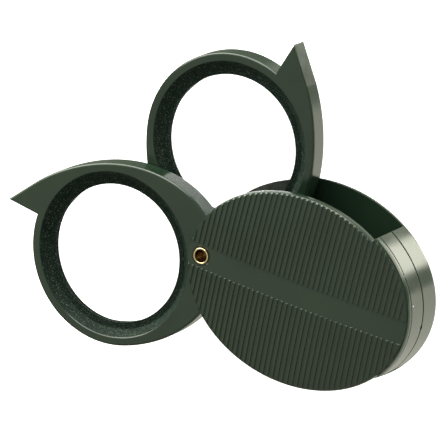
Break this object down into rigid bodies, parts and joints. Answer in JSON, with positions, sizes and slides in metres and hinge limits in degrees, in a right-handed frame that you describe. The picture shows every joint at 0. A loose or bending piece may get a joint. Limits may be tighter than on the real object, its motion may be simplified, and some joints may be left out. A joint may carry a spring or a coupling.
{
  "type": "folding_pocket_magnifier",
  "caption": "Folding pocket magnifier with framed lenses that swing on a brass eyelet out of a ribbed oval plastic case, shown fanned open.",
  "frame": {"origin": "on the eyelet's axis, at the parting plane between the two covers", "axes": "+X along the case from the eyelet to its far end, +Z out of the domed front cover"},
  "size_m": [0.0919, 0.0716, 0.0148],
  "materials": {
    "moulded_plastic": "gloss",
    "retainer_plastic": "satin",
    "lens_acrylic": "polished",
    "eyelet_brass": "polished",
    "spacer_nylon": "matte"
  },
  "bodies": {
    "case": {"front_cover": "moulded_plastic", "rear_cover": "moulded_plastic", "pivot_eyelet": "eyelet_brass", "eyelet_washer": "eyelet_brass", "front_spacer_washer": "spacer_nylon", "middle_spacer_washer": "spacer_nylon", "rear_spacer_washer": "spacer_nylon"},
    "front_frame": {"front_lens_frame": "moulded_plastic", "front_lens": "lens_acrylic", "front_lens_retainer": "retainer_plastic"},
    "rear_frame": {"rear_lens_frame": "moulded_plastic", "rear_lens": "lens_acrylic", "rear_lens_retainer": "retainer_plastic"}
  },
  "joints": [
    {"name": "front_frame_swing", "type": "hinge", "parent": "case", "child": "front_frame", "pos_m": [0, 0, 0], "axis": [0, 0, 1], "range_deg": [-149.4, 159.6]},
    {"name": "rear_frame_swing", "type": "hinge", "parent": "case", "child": "rear_frame", "pos_m": [0, 0, 0], "axis": [0, 0, 1], "range_deg": [-46, 263]}
  ]
}
